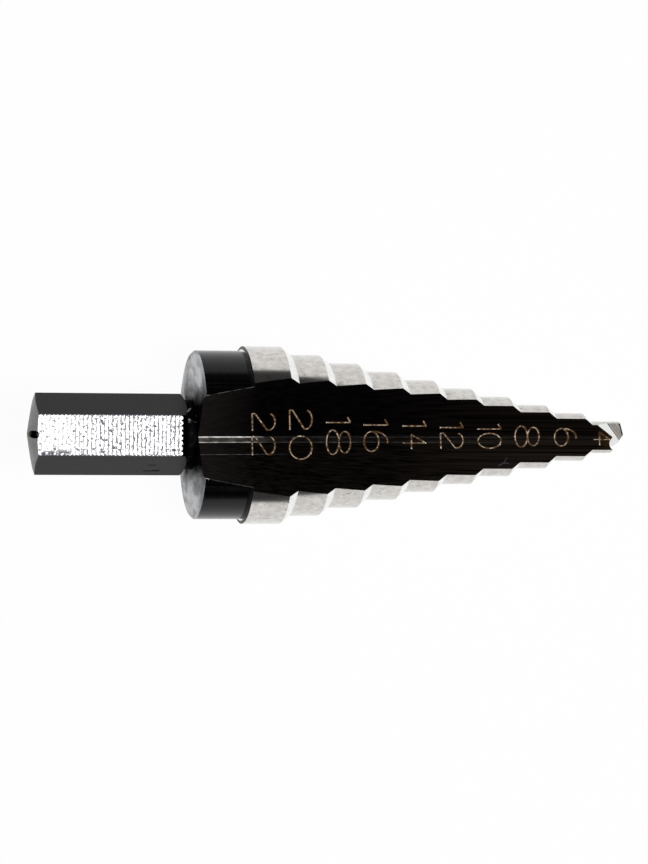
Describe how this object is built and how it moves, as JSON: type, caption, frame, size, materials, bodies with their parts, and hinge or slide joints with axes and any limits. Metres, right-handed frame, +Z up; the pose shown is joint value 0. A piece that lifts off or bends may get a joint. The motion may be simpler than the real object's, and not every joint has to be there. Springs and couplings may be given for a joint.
{
  "type": "step drill",
  "caption": "Step drill with a straight V flute, a split point, stepped ground lands, a plain collar and a hexagonal shank, for opening holes in thin sheet to graded diameters.",
  "frame": {"origin": "on the surface the drill lies on, under the middle of its length and width", "axes": "+X from the shank towards the point, +Y towards the side of the flute that cuts, +Z up, out of the flute; the tool's own axis dips 11.58 degrees towards the point"},
  "size_m": [0.0744, 0.022, 0.0218],
  "materials": {
    "blackened_steel": "black oxide over ground high-speed steel, satin on the shank and glossy on the collar",
    "ground_steel": "bright ground steel on the lands, step chamfers and point",
    "marked_steel": "fine marked lines with a tan tint, for the size numbers in the flute"
  },
  "bodies": {
    "root": {"step_drill": "blackened_steel"}
  },
  "joints": []
}
